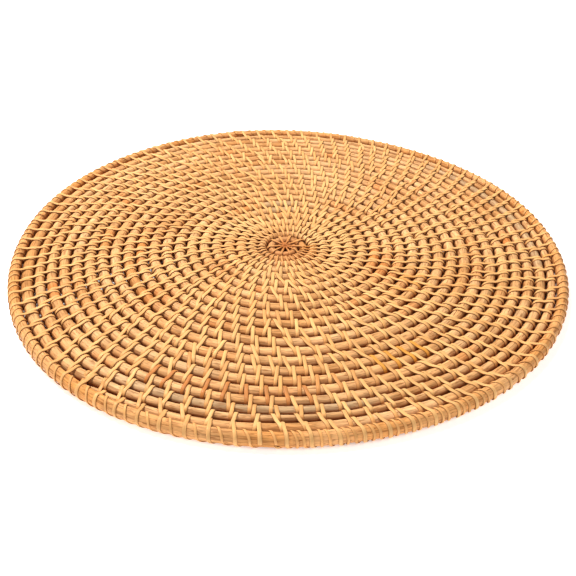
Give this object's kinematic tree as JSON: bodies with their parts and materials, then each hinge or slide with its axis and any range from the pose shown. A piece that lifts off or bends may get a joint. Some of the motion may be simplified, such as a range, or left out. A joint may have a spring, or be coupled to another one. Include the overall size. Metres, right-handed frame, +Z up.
{
  "type": "round rattan seat pad",
  "caption": "Round flat seat pad coiled from rattan core rod, stitched turn to turn with split cane inside a thicker bound rim hoop.",
  "frame": {"origin": "centre of the underside, on the plane that the pad rests on", "axes": "+Z up, square to the pad; -Y is the side that faces the camera in the picture, and the coil's tail ends at the front left"},
  "size_m": [0.4, 0.4, 0.0115],
  "materials": {
    "rim_rattan": "natural rattan, satin",
    "core_rattan": "natural rattan core, satin, with orange and grey runs",
    "cane": "split cane, glossy",
    "rim_cane": "split cane, glossy",
    "centre_cane": "split cane, darker, glossy"
  },
  "bodies": {
    "root": {"rim_hoop": "rim_rattan", "core_rod_1": "core_rattan", "core_rod_2": "core_rattan", "core_rod_3": "core_rattan", "core_rod_4": "core_rattan", "core_tail": "core_rattan", "centre_binding": "centre_cane", "binding_01": "cane", "binding_02": "cane", "binding_03": "cane", "binding_04": "cane", "binding_05": "cane", "binding_06": "cane", "binding_07": "cane", "binding_08": "cane", "binding_09": "cane", "binding_10": "cane", "binding_11": "cane", "binding_12": "cane", "binding_13": "cane", "binding_14": "cane", "binding_15": "cane", "binding_16": "cane", "binding_17": "cane", "binding_18": "cane", "rim_lashing_1": "rim_cane", "rim_lashing_2": "rim_cane", "rim_lashing_3": "rim_cane", "rim_lashing_4": "rim_cane", "rim_wrap_1": "rim_cane", "rim_wrap_2": "rim_cane", "rim_wrap_3": "rim_cane", "rim_wrap_4": "rim_cane"}
  },
  "joints": []
}
